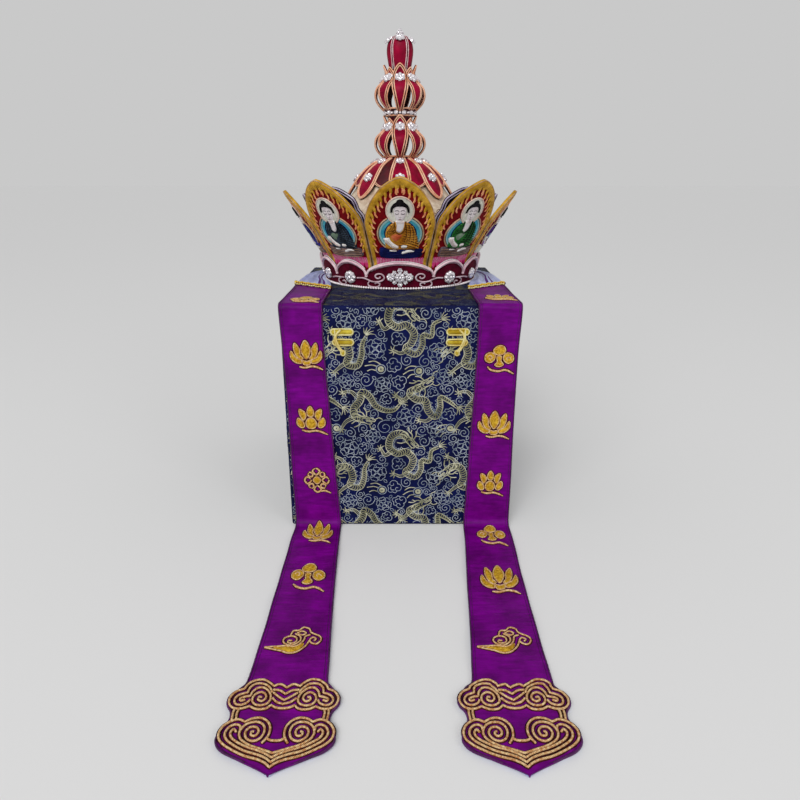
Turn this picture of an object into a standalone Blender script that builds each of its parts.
"""A five-leaf ceremonial crown hat with a strip-work spire and two long streamers, on its display box.

Metres, +Z up.  The origin is the middle of the box's base and the front is towards -Y.
Every piece is one closed solid.  Pieces that touch keep the clearance GAP between them.
"""

from math import atan2, cos, degrees, pi, radians, sin, tan

import bmesh
import bpy
from mathutils import Matrix, Vector

# Clearances
GAP = 0.0003                # between two pieces that touch
LAYER_GAP = 0.0005          # between curved layers that lie one inside the other
DOME_GAP = 0.0005           # between the dome petals and the cap under them

# Display box
BOX_WIDTH = 0.258
BOX_DEPTH = 0.300
BOX_HEIGHT = 0.264
BOX_EDGE = 0.003            # rounding of the cloth-covered edges

# Loop fastenings on the box front
FROG_WIDTH = 0.024
FROG_HEIGHT = 0.025         # from the upper bar to the knot
FROG_BAR = 0.0065           # height of a bar
FROG_CORD = 0.0034          # thickness of the upright and the tail
FROG_DEPTH = 0.0030         # how far the work stands off the box
FROG_MIDDLE = BOX_WIDTH / 2 - 0.0665   # from the middle of the box to the middle of a fastening
FROG_DROP = 0.028           # from the top of the box to the upper bar

# Place of the hat on the box
HAT_BACK = 0.046            # hat axis behind the middle of the box

# Headband
BAND_RADIUS = 0.098         # outside, at the foot
BAND_LEAN = radians(11.0)
BAND_WALL = 0.003
BAND_PEAK = 0.033
BAND_VALLEY = 0.020
FRONT_SCALLOP = 46.8        # degrees taken by the wide scallop in front, and by the one behind
SIDE_SCALLOPS = 5           # narrower scallops on each side
SCALLOP_STEPS = 8

# Leaves, measured on their outer face
LEAF_STEP = 38.0            # degrees between the five leaves in front
LEAF_FOOT = 0.012           # height of the hidden foot, inside the band
LEAF_WALL = 0.003
LEAF_TIP = 0.131            # height of the front leaf's tip
LEAF_REACH = 0.160          # radius of the front leaf's tip
LEAF_WIDTH = 0.081
INNER_WALL = 0.0025
INNER_TIP = 0.118
INNER_REACH = 0.127
INNER_WIDTH = 0.071
REAR_INNER_LEAVES = 4

# Cap and spire: heights are above the foot of the band
CAP_WALL = 0.002
CAP_SHOULDER = 0.060        # height where the cap turns in to its dome
PADDING = 0.0025            # thickness of the padded strips
STRIPS = 8
DOME_TOP = 0.150
DOME_TIP = 0.103
DOME_RADIUS = 0.068
BULB_RADIUS = 0.0315
LOWER_BULB_HEIGHT = 0.050
UPPER_BULB_HEIGHT = 0.052
UPPER_BULB_SHARE = 0.97     # radius of the upper bulb against the lower one
NECK_FLANGE = 0.0040
NECK_SINK = 0.0140          # length of the neck hidden inside the petal tips
FINIAL_HEIGHT = 0.038       # above the tips of the upper bulb's waist
FINIAL_RADIUS = 0.0157
FINIAL_SINK = 0.0140

# Stones
STONE_RADIUS = 0.0035
STONE_HEIGHT = 0.0028
STONE_TABLE = 0.55          # radius of a stone's flat top against its girdle
STONE_RISE = -0.6           # a waist stone's middle over the waist, in stone radii
STONE_TILT = radians(33)    # how far a waist stone faces up
TOP_STONE_RADIUS = 0.0040
TOP_STONE_HEIGHT = 0.0064
FINIAL_STONES = 5
FINIAL_STONE_PLACE = 0.78   # height share of the stones on the finial
FLOWER_RADIUS = 0.0105      # the front crystal flower on the band
FLOWER_HEIGHT = 0.0035
FLOWER_PETALS = 8
FLOWER_NOTCH = 0.82         # radius between two petals against the flower's radius

# Streamers and the lining tails behind them
CLOTH = 0.002
STREAMER_WIDTH = 0.047      # at the front edge of the box
STREAMER_MIDDLE = BOX_WIDTH / 2 - 0.023     # from the middle of the box, at the same place
STREAMER_FLOOR = 0.254      # from the box front to the neck of the cloud head
STREAMER_BEND = 0.009       # radius where the cloth turns on to the floor
STREAMER_SIDE = 0.127       # length on the box top along the outer edge
STREAMER_INNER_SIDE = 0.092 # length on the box top along the inner edge
HEAD_LENGTH = 0.089
HEAD_WIDTH = 0.090

# Outline of a leaf: height share, half width share
LEAF_OUTLINE = (
    (0.00, 0.78),
    (0.06, 0.825),
    (0.20, 0.885),
    (0.34, 0.945),
    (0.47, 1.00),
    (0.58, 0.965),
    (0.68, 0.88),
    (0.77, 0.76),
    (0.85, 0.61),
    (0.91, 0.45),
    (0.955, 0.28),
    (0.985, 0.13),
)
LEAF_COLUMNS = (-1.0, -0.5, 0.0, 0.5, 1.0)  # points across a leaf, as shares of its half width

# Outline of a leaf of the dark inner row, with its cloud-like shoulder
INNER_OUTLINE = (
    (0.00, 0.81),
    (0.20, 0.90),
    (0.36, 0.96),
    (0.52, 1.00),
    (0.64, 0.97),
    (0.72, 0.86),
    (0.78, 0.84),
    (0.86, 0.76),
    (0.93, 0.52),
    (0.98, 0.22),
)

# Front leaves, counted from the middle: height share, reach share
LEAF_SIZES = ((1.00, 1.00), (0.96, 0.965), (0.855, 0.93))
INNER_SIZES = ((0.98, 0.98), (1.00, 1.00), (0.92, 0.98), (0.92, 0.98), (0.92, 0.98))

# Cap from the shoulder up to the dome: height share of the shoulder, radius share of the band
CAP_SIDE = ((1.00, 0.945), (1.22, 0.890), (1.45, 0.800))

# Dome petals from the top down: drop share, radius share, width share, joined to the next petal.
# The cap follows them from row CAP_ROW down.
CAP_ROW = 2
DOME_ROWS = (
    (0.00, 0.18, 0.92, True),
    (0.00, 0.32, 0.92, True),
    (0.06, 0.40, 0.92, True),
    (0.13, 0.50, 0.92, True),
    (0.24, 0.62, 0.92, True),
    (0.44, 0.76, 0.90, True),
    (0.62, 0.85, 0.86, False),
    (0.80, 0.93, 0.62, False),
    (1.00, 1.00, 0.00, False),
)

# Bulb strips from the foot up: height share, radius share, width share, joined to the next strip
BULB_ROWS = (
    (0.00, 0.60, 0.52, True),
    (0.07, 0.74, 0.55, True),
    (0.19, 0.92, 0.60, False),
    (0.33, 1.00, 0.68, False),
    (0.48, 0.95, 0.80, False),
    (0.60, 0.77, 0.90, False),
    (0.69, 0.61, 0.93, True),
    (0.75, 0.57, 0.93, True),
    (0.84, 0.575, 0.78, False),
    (0.93, 0.61, 0.45, False),
    (1.00, 0.65, 0.00, False),
)
WAIST_ROW = 7               # the row of BULB_ROWS that the neck or finial stands in

# Finial from the foot up: height share, radius share
FINIAL_ROWS = (
    (0.00, 0.80),
    (0.24, 0.92),
    (0.50, 1.00),
    (0.72, 0.93),
    (0.86, 0.72),
    (0.95, 0.40),
    (1.00, 0.00),
)

# Crystal flowers on the band: azimuth in degrees, size share
FLOWERS = ((0.0, 1.00), (36.7, 0.78), (-36.7, 0.78), (63.4, 0.64), (-63.4, 0.64))

# Streamers: stretch, share along it, middle share on the left, on the right, width share
STREAMER_ROWS = (
    ("hang", 0.00, 1.000, 1.010, 1.00),
    ("hang", 0.18, 0.990, 1.000, 0.97),
    ("hang", 0.40, 0.968, 0.990, 1.00),
    ("hang", 0.60, 0.952, 0.980, 1.05),
    ("hang", 0.80, 0.935, 0.975, 1.10),
    ("hang", 1.00, 0.915, 0.965, 1.14),
    ("floor", 0.13, 0.912, 0.955, 1.18),
    ("floor", 0.44, 0.900, 0.920, 1.24),
    ("floor", 0.70, 0.885, 0.898, 1.30),
    ("floor", 0.90, 0.876, 0.882, 1.38),
    ("floor", 1.00, 0.874, 0.872, 1.43),
)
HEAD_MIDDLE = (0.868, 0.850)    # middle share of the cloud head on the left and on the right

# Cloud head of a streamer: length share, half width share
HEAD_ROWS = (
    (0.06, 0.80),
    (0.12, 0.88),
    (0.19, 0.97),
    (0.26, 1.00),
    (0.32, 0.96),
    (0.37, 0.89),
    (0.45, 0.86),
    (0.52, 0.90),
    (0.60, 0.97),
    (0.68, 0.99),
    (0.76, 0.90),
    (0.84, 0.72),
    (0.91, 0.50),
    (0.96, 0.26),
    (1.00, 0.02),
)

# Lining tail round the side of the band: azimuths and radii of its inner and outer edge, in degrees
# and as shares of the band's radius
TAIL_ROWS = (
    (58.0, 1.060, 75.5, 1.360),
    (74.0, 1.020, 84.0, 1.310),
    (90.0, 1.018, 97.0, 1.290),
    (104.0, 1.018, 110.0, 1.260),
    (118.0, 1.018, 122.0, 1.200),
    (130.0, 1.018, 133.0, 1.120),
)

HAT_BASE = BOX_HEIGHT + GAP
HAT_AXIS = Vector((0.0, HAT_BACK, HAT_BASE))

COLOURS = {
    "brocade": ((0.012, 0.020, 0.075), 0.75, 0.0),
    "gold": ((0.60, 0.40, 0.10), 0.45, 0.0),
    "velvet": ((0.13, 0.002, 0.012), 0.85, 0.0),
    "embroidery": ((0.55, 0.33, 0.06), 0.70, 0.0),
    "dark_satin": ((0.030, 0.008, 0.040), 0.60, 0.0),
    "lining": ((0.60, 0.48, 0.30), 0.70, 0.0),
    "red_satin": ((0.45, 0.010, 0.040), 0.40, 0.0),
    "crystal": ((0.80, 0.78, 0.80), 0.10, 0.0),
    "purple_satin": ((0.13, 0.004, 0.17), 0.35, 0.0),
    "lavender_satin": ((0.42, 0.46, 0.80), 0.40, 0.0),
}


def clear_scene():
    for old in list(bpy.data.objects):
        bpy.data.objects.remove(old, do_unlink=True)


def make_collection(name):
    collection = bpy.data.collections.new(name)
    bpy.context.scene.collection.children.link(collection)
    return collection


def dress(piece, finish):
    """Give a piece its own material in one of the named finishes."""
    colour, roughness, metallic = COLOURS[finish]
    material = bpy.data.materials.new(piece.name + "_" + finish)
    material.use_nodes = True
    shader = material.node_tree.nodes["Principled BSDF"]
    shader.inputs["Base Color"].default_value = (*colour, 1.0)
    shader.inputs["Roughness"].default_value = roughness
    shader.inputs["Metallic"].default_value = metallic
    piece.data.materials.clear()
    piece.data.materials.append(material)


def mesh_piece(name, points, faces, finish):
    """Make one object of a mesh."""
    mesh = bpy.data.meshes.new(name)
    mesh.from_pydata([tuple(point) for point in points], [], faces)
    mesh.update()
    mesh.shade_smooth()
    mesh.set_sharp_from_angle(angle=radians(40))
    piece = bpy.data.objects.new(name, mesh)
    PART.objects.link(piece)
    dress(piece, finish)
    return piece


def thicken(piece, wall):
    """Turn an open sheet into a solid wall behind its face."""
    solid = piece.modifiers.new("wall", "SOLIDIFY")
    solid.thickness = wall
    solid.offset = -1.0
    solid.use_even_offset = True


def sheet(rows, closed=False):
    """Points and faces of a sheet through rows of points, facing out where rows rise and turn right."""
    across = len(rows[0])
    points = [point for row in rows for point in row]
    faces = []
    last = across if closed else across - 1
    for low in range(len(rows) - 1):
        for column in range(last):
            following = (column + 1) % across
            a = low * across + column
            b = low * across + following
            faces.append((a, b, b + across, a + across))
    return points, faces


def around(radius, azimuth, height):
    """A point round the hat's axis: azimuth 0 is the front, 90 is +X."""
    angle = radians(azimuth)
    return HAT_AXIS + Vector((radius * sin(angle), -radius * cos(angle), height))


def share_at(rows, place, column=1):
    """Value of one column of a table at a place along it, straight between its rows."""
    if place <= rows[0][0]:
        return rows[0][column]
    for low, high in zip(rows, rows[1:]):
        if place <= high[0]:
            if high[0] == low[0]:
                continue
            part = (place - low[0]) / (high[0] - low[0])
            return low[column] + part * (high[column] - low[column])
    return rows[-1][column]


def make_box():
    bpy.ops.mesh.primitive_cube_add(size=1.0, location=(0.0, 0.0, BOX_HEIGHT / 2))
    box = bpy.context.object
    box.name = "display_box"
    for collection in list(box.users_collection):
        collection.objects.unlink(box)
    PART.objects.link(box)
    box.data.transform(Matrix.Diagonal((BOX_WIDTH, BOX_DEPTH, BOX_HEIGHT, 1.0)))
    bevel = box.modifiers.new("edges", "BEVEL")
    bevel.width = BOX_EDGE
    bevel.segments = 3
    dress(box, "brocade")


def cord_stroke(name, start, end, width, group):
    """A flat-oval stroke of cord work on the box front between two points (x, z)."""
    run = Vector((end[0] - start[0], 0.0, end[1] - start[1]))
    shape = bmesh.new()
    bmesh.ops.create_cone(shape, cap_ends=True, segments=12, radius1=width / 2, radius2=width / 2,
                          depth=run.length)
    turn = run.to_track_quat("Z", "Y").to_matrix().to_4x4()
    flatten = Matrix.Diagonal((1.0, FROG_DEPTH / width, 1.0, 1.0))
    middle = Matrix.Translation(((start[0] + end[0]) / 2, 0.0, (start[1] + end[1]) / 2))
    shape.transform(middle @ flatten @ turn)
    shape.transform(Matrix.Translation((0.0, -BOX_DEPTH / 2 - GAP - FROG_DEPTH / 2, 0.0)))
    mesh = bpy.data.meshes.new(name)
    shape.to_mesh(mesh)
    shape.free()
    stroke = bpy.data.objects.new(name, mesh)
    group.objects.link(stroke)
    return stroke


def make_frog(name, side):
    """A loop fastening: two thick bars tied by an upright, with a tail that ends in a knot."""
    top = BOX_HEIGHT - FROG_DROP
    low = top - FROG_HEIGHT * 0.46
    outer = side * (FROG_MIDDLE + FROG_WIDTH / 2)
    inner = side * (FROG_MIDDLE - FROG_WIDTH / 2)
    upright = side * (FROG_MIDDLE + FROG_WIDTH * 0.26)
    tail = side * (FROG_MIDDLE + FROG_WIDTH * 0.24)
    knot = side * (FROG_MIDDLE - FROG_WIDTH * 0.02)
    base = top - FROG_HEIGHT
    strokes = (
        ((outer, low), (inner, low), FROG_BAR),
        ((upright, top), (upright, low), FROG_CORD),
        ((tail, low), (knot, base), FROG_CORD),
        ((knot, base + FROG_BAR * 0.6), (knot, base - FROG_BAR * 0.2), FROG_BAR * 0.8),
    )
    frog = cord_stroke(name, (outer, top), (inner, top), FROG_BAR, PART)
    for number, (start, end, width) in enumerate(strokes):
        stroke = cord_stroke("%s_stroke_%d" % (name, number), start, end, width, HELPERS)
        stroke.hide_render = True
        stroke.display_type = "WIRE"
        joint = frog.modifiers.new("stroke_%d" % number, "BOOLEAN")
        joint.operation = "UNION"
        joint.solver = "EXACT"
        joint.object = stroke
    dress(frog, "gold")


def scallop_borders():
    """Azimuths between the scallops of the band, all the way round."""
    side = (360.0 - 2 * FRONT_SCALLOP) / 2 / SIDE_SCALLOPS
    borders = [-FRONT_SCALLOP / 2, FRONT_SCALLOP / 2]
    for _ in range(SIDE_SCALLOPS):
        borders.append(borders[-1] + side)
    borders.append(borders[-1] + FRONT_SCALLOP)
    for _ in range(SIDE_SCALLOPS - 1):
        borders.append(borders[-1] + side)
    return borders


def band_radius(height):
    return BAND_RADIUS + height * tan(BAND_LEAN)


def make_band():
    foot = []
    top = []
    borders = scallop_borders()
    ends = borders[1:] + [borders[0] + 360.0]
    for start, end in zip(borders, ends):
        for step in range(SCALLOP_STEPS):
            part = step / SCALLOP_STEPS
            azimuth = start + part * (end - start)
            height = BAND_VALLEY + (BAND_PEAK - BAND_VALLEY) * sin(pi * part) ** 0.7
            foot.append(around(BAND_RADIUS, azimuth, 0.0))
            top.append(around(band_radius(height), azimuth, height))
    points, faces = sheet([foot, top], closed=True)
    band = mesh_piece("headband", points, faces, "velvet")
    thicken(band, BAND_WALL)


def leaf_seat(depth, height):
    """Radius of a surface that lies inside the band at this depth behind its outer face."""
    return band_radius(height) - depth / cos(BAND_LEAN)


def make_leaf(name, azimuth, outline, width, depth, wall, tip, reach, finish):
    """A leaf whose foot stands in the band and whose blade leans out on a cone."""
    seat = leaf_seat(depth, BAND_PEAK)
    rows = []
    foot_width = outline[0][1] * width / 2
    for height in (LEAF_FOOT, BAND_PEAK):
        radius = leaf_seat(depth, height)
        rows.append([(radius, foot_width * column, height) for column in LEAF_COLUMNS])
    for share, half in outline[1:]:
        height = BAND_PEAK + share * (tip - BAND_PEAK)
        radius = seat + share * (reach - seat)
        rows.append([(radius, half * width / 2 * column, height) for column in LEAF_COLUMNS])
    placed = [[around(r, azimuth + degrees(u / r), h) for r, u, h in row] for row in rows]
    points, faces = sheet(placed)
    apex = len(points)
    points.append(around(reach, azimuth, tip))
    first = apex - len(LEAF_COLUMNS)
    faces += [(first + column, first + column + 1, apex) for column in range(len(LEAF_COLUMNS) - 1)]
    leaf = mesh_piece(name, points, faces, finish)
    thicken(leaf, wall)


def make_leaves():
    outer_depth = BAND_WALL + LAYER_GAP
    inner_depth = outer_depth + LEAF_WALL + LAYER_GAP
    for place in range(-2, 3):
        tall, far = LEAF_SIZES[abs(place)]
        make_leaf("leaf_%d" % (place + 3), place * LEAF_STEP, LEAF_OUTLINE, LEAF_WIDTH, outer_depth,
                  LEAF_WALL, LEAF_TIP * tall, LEAF_REACH * far, "embroidery")
    rear_step = (360.0 - 4 * LEAF_STEP) / (REAR_INNER_LEAVES + 1)
    azimuths = [(abs(place), place * LEAF_STEP) for place in range(-2, 3)]
    azimuths += [(3, 2 * LEAF_STEP + (turn + 1) * rear_step) for turn in range(REAR_INNER_LEAVES)]
    for number, (kind, azimuth) in enumerate(azimuths):
        tall, far = INNER_SIZES[kind]
        make_leaf("inner_leaf_%d" % (number + 1), azimuth, INNER_OUTLINE, INNER_WIDTH, inner_depth,
                  INNER_WALL, INNER_TIP * tall, INNER_REACH * far, "dark_satin")


def dome_height(drop):
    return DOME_TOP - drop * (DOME_TOP - DOME_TIP)


def inside(profile, distance):
    """Points of a turned profile, radius and height from the top down, moved in along its normal."""
    moved = []
    for number, (radius, height) in enumerate(profile):
        before = profile[max(number - 1, 0)]
        after = profile[min(number + 1, len(profile) - 1)]
        along = Vector((after[0] - before[0], after[1] - before[1])).normalized()
        moved.append((radius + along.y * distance, height - along.x * distance))
    return moved


def make_cap():
    """The brocade cap: a turned shell that rises inside the leaves and domes in under the petals."""
    depth = BAND_WALL + LEAF_WALL + INNER_WALL + 3 * LAYER_GAP
    flat = cos(pi / STRIPS / 2)
    outside = [(DOME_RADIUS * share * flat, dome_height(drop))
               for row, (drop, share, _, _) in enumerate(DOME_ROWS) if row >= CAP_ROW]
    dome = inside(outside, PADDING + DOME_GAP)
    profile = [(0.0, dome[0][1])] + dome
    for place, share in reversed(CAP_SIDE):
        profile.append((BAND_RADIUS * share, CAP_SHOULDER * place))
    for height in (BAND_PEAK, LEAF_FOOT):
        profile.append((leaf_seat(depth, height), height))
    cap = turned("cap", profile, "lining", steps=32)
    thicken(cap, CAP_WALL)


def petal_shell(name, rows, wall, finish):
    """Padded strips side by side round the axis, sewn together where a row says so.

    A row holds height, radius, width share and whether the strip is joined to the next one there.
    """
    spacing = 360.0 / STRIPS
    points = []
    faces = []
    index = {}
    for strip in range(STRIPS):
        for level, (height, radius, width, _) in enumerate(rows):
            columns = (-1, 0, 1) if width else (0,)
            for column in columns:
                index[strip, level, column] = len(points)
                azimuth = spacing * (strip + column * width / 2)
                points.append(around(radius, azimuth, height))
    for strip in range(STRIPS):
        following = (strip + 1) % STRIPS
        for level in range(len(rows) - 1):
            for left, right in ((-1, 0), (0, 1)):
                low_left = index.get((strip, level, left), index[strip, level, 0])
                low_right = index.get((strip, level, right), index[strip, level, 0])
                high_left = index.get((strip, level + 1, left), index[strip, level + 1, 0])
                high_right = index.get((strip, level + 1, right), index[strip, level + 1, 0])
                corners = [low_left, low_right, high_right, high_left]
                faces.append(tuple(dict.fromkeys(corners)))
            if rows[level][3] and rows[level + 1][3]:
                faces.append((index[strip, level, 1], index[following, level, -1],
                              index[following, level + 1, -1], index[strip, level + 1, 1]))
    shell = mesh_piece(name, points, faces, finish)
    thicken(shell, wall)


def make_dome():
    rows = [(dome_height(drop), DOME_RADIUS * share, width, joined)
            for drop, share, width, joined in DOME_ROWS]
    rows.reverse()
    petal_shell("dome_petals", rows, PADDING, "red_satin")


def bulb_rows(foot, height, radius):
    return [(foot + height * place, radius * share, width, joined)
            for place, share, width, joined in BULB_ROWS]


def turned(name, profile, finish, steps=20):
    """A solid turned round the hat's axis from a profile that runs from the top down."""
    mesh = bpy.data.meshes.new(name)
    edges = [(i, i + 1) for i in range(len(profile) - 1)]
    mesh.from_pydata([(r, 0.0, z) for r, z in profile], edges, [])
    piece = bpy.data.objects.new(name, mesh)
    PART.objects.link(piece)
    piece.location = HAT_AXIS
    dress(piece, finish)
    turn = piece.modifiers.new("turn", "SCREW")
    turn.steps = steps
    turn.render_steps = steps
    turn.use_merge_vertices = True
    turn.merge_threshold = 0.00005
    return piece


def stone_mesh(name, radius, height, petals, finish):
    """A cut stone with a flat back and a table, or a flower of them when it has petals."""
    sides = 2 * petals if petals else 8
    shape = bmesh.new()
    bmesh.ops.create_cone(shape, cap_ends=True, segments=sides, radius1=radius,
                          radius2=radius * STONE_TABLE, depth=height)
    bmesh.ops.translate(shape, verts=shape.verts, vec=(0.0, 0.0, height / 2))
    if petals:
        for vertex in shape.verts:
            number = round(atan2(vertex.co.y, vertex.co.x) / (2 * pi / sides))
            if number % 2:
                vertex.co.x *= FLOWER_NOTCH
                vertex.co.y *= FLOWER_NOTCH
    mesh = bpy.data.meshes.new(name)
    shape.to_mesh(mesh)
    shape.free()
    stone = bpy.data.objects.new(name, mesh)
    PART.objects.link(stone)
    dress(stone, finish)
    return stone


def set_stone(stone, radius, azimuth, height, tilt=0.0):
    """Place a stone's flat back on a point round the axis, facing out; tilt turns its face down."""
    angle = radians(azimuth)
    out = Vector((sin(angle) * cos(tilt), -cos(angle) * cos(tilt), -sin(tilt)))
    side = Vector((cos(angle), sin(angle), 0.0))
    up = out.cross(side)
    turn = Matrix((side, up, out)).transposed().to_4x4()
    stone.matrix_world = Matrix.Translation(around(radius, azimuth, height)) @ turn


def seat_on(rows, height, reach, tilt):
    """Radius at which the middle of a flat back clears a strip, when the back faces up by tilt."""
    high = reach * cos(tilt)
    levels = [level for level, _, _, _ in rows if abs(level - height) < high]
    levels += [height - high, height, height + high]
    return max(share_at(rows, level) + (level - height) * tan(tilt) for level in levels)


def make_waist_stones(name, rows):
    """One stone on each strip, just under the waist of a bulb."""
    height = rows[WAIST_ROW][0] + STONE_RADIUS * STONE_RISE
    seat = seat_on(rows, height, STONE_RADIUS, STONE_TILT) + GAP
    for strip in range(STRIPS):
        stone = stone_mesh("%s_%d" % (name, strip + 1), STONE_RADIUS, STONE_HEIGHT, 0, "crystal")
        set_stone(stone, seat, strip * 360.0 / STRIPS, height, -STONE_TILT)


def make_spire():
    lower_foot = DOME_TOP + GAP
    lower = bulb_rows(lower_foot, LOWER_BULB_HEIGHT, BULB_RADIUS)
    petal_shell("lower_bulb", lower, PADDING, "red_satin")
    make_waist_stones("lower_stone", lower)

    neck_foot = lower_foot + LOWER_BULB_HEIGHT - NECK_SINK
    neck_shoulder = lower_foot + LOWER_BULB_HEIGHT + GAP
    neck_top = neck_shoulder + NECK_FLANGE
    stem = lower[WAIST_ROW][1] * cos(pi / STRIPS / 2) - PADDING - LAYER_GAP
    flange = lower[-1][1] - PADDING - GAP      # inside the strips' tips
    profile = [(0.0, neck_top), (flange, neck_top), (flange, neck_shoulder),
               (stem, neck_shoulder), (stem, neck_foot), (0.0, neck_foot)]
    turned("neck_ring", profile, "crystal")

    upper_foot = neck_top + GAP
    upper = bulb_rows(upper_foot, UPPER_BULB_HEIGHT, BULB_RADIUS * UPPER_BULB_SHARE)
    petal_shell("upper_bulb", upper, PADDING, "red_satin")
    make_waist_stones("upper_stone", upper)

    bud = upper_foot + UPPER_BULB_HEIGHT - FINIAL_SINK * 0.35
    stem = upper[WAIST_ROW][1] * cos(pi / STRIPS / 2) - PADDING - LAYER_GAP
    profile = [(FINIAL_RADIUS * share, bud + FINIAL_HEIGHT * place)
               for place, share in reversed(FINIAL_ROWS)]
    profile += [(stem, bud - FINIAL_SINK * 0.3), (stem, bud - FINIAL_SINK), (0.0, bud - FINIAL_SINK)]
    turned("finial", profile, "red_satin")
    make_finial_stones(bud)


def make_finial_stones(bud):
    rows = [(bud + FINIAL_HEIGHT * place, FINIAL_RADIUS * share) for place, share in FINIAL_ROWS]
    height = bud + FINIAL_HEIGHT * FINIAL_STONE_PLACE
    for number in range(FINIAL_STONES):
        stone = stone_mesh("finial_stone_%d" % (number + 1), STONE_RADIUS, STONE_HEIGHT, 0, "crystal")
        low = share_at(rows, height - STONE_RADIUS)
        set_stone(stone, low + GAP, number * 360.0 / FINIAL_STONES, height)
    top = stone_mesh("top_stone", TOP_STONE_RADIUS, TOP_STONE_HEIGHT, 0, "crystal")
    top.location = HAT_AXIS + Vector((0.0, 0.0, bud + FINIAL_HEIGHT + GAP))


def make_flowers():
    height = (BAND_VALLEY + FLOWER_RADIUS * 0.1) / 2 + FLOWER_RADIUS * 0.3
    for number, (azimuth, size) in enumerate(FLOWERS):
        flower = stone_mesh("band_flower_%d" % (number + 1), FLOWER_RADIUS * size, FLOWER_HEIGHT,
                            FLOWER_PETALS, "crystal")
        set_stone(flower, band_radius(height) + GAP, azimuth, height, BAND_LEAN)


def streamer_frame(along):
    """Point (y, z) of the streamer's upper face at a distance past the box's front edge."""
    edge = BOX_EDGE + GAP + CLOTH
    over = edge * pi / 2
    face = -BOX_DEPTH / 2 - GAP - CLOTH
    bend = STREAMER_BEND
    hang = BOX_HEIGHT - BOX_EDGE - CLOTH - bend
    if along <= over:
        angle = along / edge
        return -BOX_DEPTH / 2 + BOX_EDGE - edge * sin(angle), BOX_HEIGHT - BOX_EDGE + edge * cos(angle)
    if along <= over + hang:
        return face, BOX_HEIGHT - BOX_EDGE - (along - over)
    foot = over + hang
    if along <= foot + bend * pi / 2:
        angle = (along - foot) / bend
        return face - bend * (1 - cos(angle)), CLOTH + bend * (1 - sin(angle))
    return face - bend - (along - foot - bend * pi / 2), CLOTH


def streamer_lengths():
    """Distances along the cloth of the box's front edge, the end of the hang and the end of the bend."""
    over = (BOX_EDGE + GAP + CLOTH) * pi / 2
    foot = over + BOX_HEIGHT - BOX_EDGE - CLOTH - STREAMER_BEND
    return over, foot, foot + STREAMER_BEND * pi / 2


def streamer_stations(side):
    """Rows of a streamer: distance along it, middle and half width."""
    over, foot, floor = streamer_lengths()
    floor_run = STREAMER_FLOOR - STREAMER_BEND
    right = 1 if side > 0 else 0
    table = []
    for stretch, place, *middles, width in STREAMER_ROWS:
        along = over + place * (foot - over) if stretch == "hang" else floor + place * floor_run
        table.append((along, STREAMER_MIDDLE * middles[right], STREAMER_WIDTH / 2 * width))
    stations = list(table)
    bends = [over * turn / 4 for turn in range(1, 4)]
    bends += [foot + (floor - foot) * turn / 4 for turn in range(1, 5)]
    for bent in bends:
        stations.append((bent, share_at(table, bent, 1), share_at(table, bent, 2)))
    neck = table[-1][0]
    for place, half in HEAD_ROWS:
        middle = STREAMER_MIDDLE * HEAD_MIDDLE[right]
        stations.append((neck + HEAD_LENGTH * place, middle, HEAD_WIDTH / 2 * half))
    stations.sort()
    return stations


def streamer_end(side):
    """Outer and inner corner of the streamer's upper end on the box top."""
    front = -BOX_DEPTH / 2 + BOX_EDGE
    outer = Vector((side * (STREAMER_MIDDLE + STREAMER_WIDTH / 2), front + STREAMER_SIDE))
    inner = Vector((side * (STREAMER_MIDDLE - STREAMER_WIDTH / 2), front + STREAMER_INNER_SIDE))
    return outer, inner


def make_streamer(name, side):
    rows = []
    outer, inner = streamer_end(side)
    height = BOX_HEIGHT + GAP + CLOTH
    front = -BOX_DEPTH / 2 + BOX_EDGE
    for share in (0.0, 0.5, 1.0):
        outer_y = outer.y + share * (front - outer.y)
        inner_y = inner.y + share * (front - inner.y)
        ends = Vector((outer.x, outer_y, height)), Vector((inner.x, inner_y, height))
        rows.append([ends[0], (ends[0] + ends[1]) / 2, ends[1]])
    for along, middle, half in streamer_stations(side):
        y, z = streamer_frame(along)
        rows.append([Vector((side * x, y, z)) for x in (middle + half, middle, middle - half)])
    if side > 0:
        rows = [list(reversed(row)) for row in rows]
    rows.reverse()
    points, faces = sheet(rows)
    streamer = mesh_piece(name, points, faces, "purple_satin")
    thicken(streamer, CLOTH)


def make_tail(name, side):
    """The lining tail that lies between the streamer's upper end and the back of the band."""
    height = BOX_HEIGHT + GAP + CLOTH
    outer, inner = streamer_end(side)
    back = Vector((0.0, GAP))
    pairs = [(inner + back, outer + back)]
    for azimuth_in, radius_in, azimuth_out, radius_out in TAIL_ROWS:
        near = around(radius_in * BAND_RADIUS, side * azimuth_in, 0.0)
        far = around(radius_out * BAND_RADIUS, side * azimuth_out, 0.0)
        pairs.append((near.to_2d(), far.to_2d()))
    rows = [[Vector((*far, height)), Vector((*near, height))] for near, far in pairs]
    if side > 0:
        rows = [list(reversed(row)) for row in rows]
    rows.reverse()
    points, faces = sheet(rows)
    tail = mesh_piece(name, points, faces, "lavender_satin")
    thicken(tail, CLOTH)


clear_scene()
PART = make_collection("crown_hat_on_box")
HELPERS = make_collection("helpers")
make_box()
make_frog("fastening_left", -1)
make_frog("fastening_right", 1)
make_band()
make_leaves()
make_cap()
make_dome()
make_spire()
make_flowers()
make_streamer("streamer_left", -1)
make_streamer("streamer_right", 1)
make_tail("tail_left", -1)
make_tail("tail_right", 1)
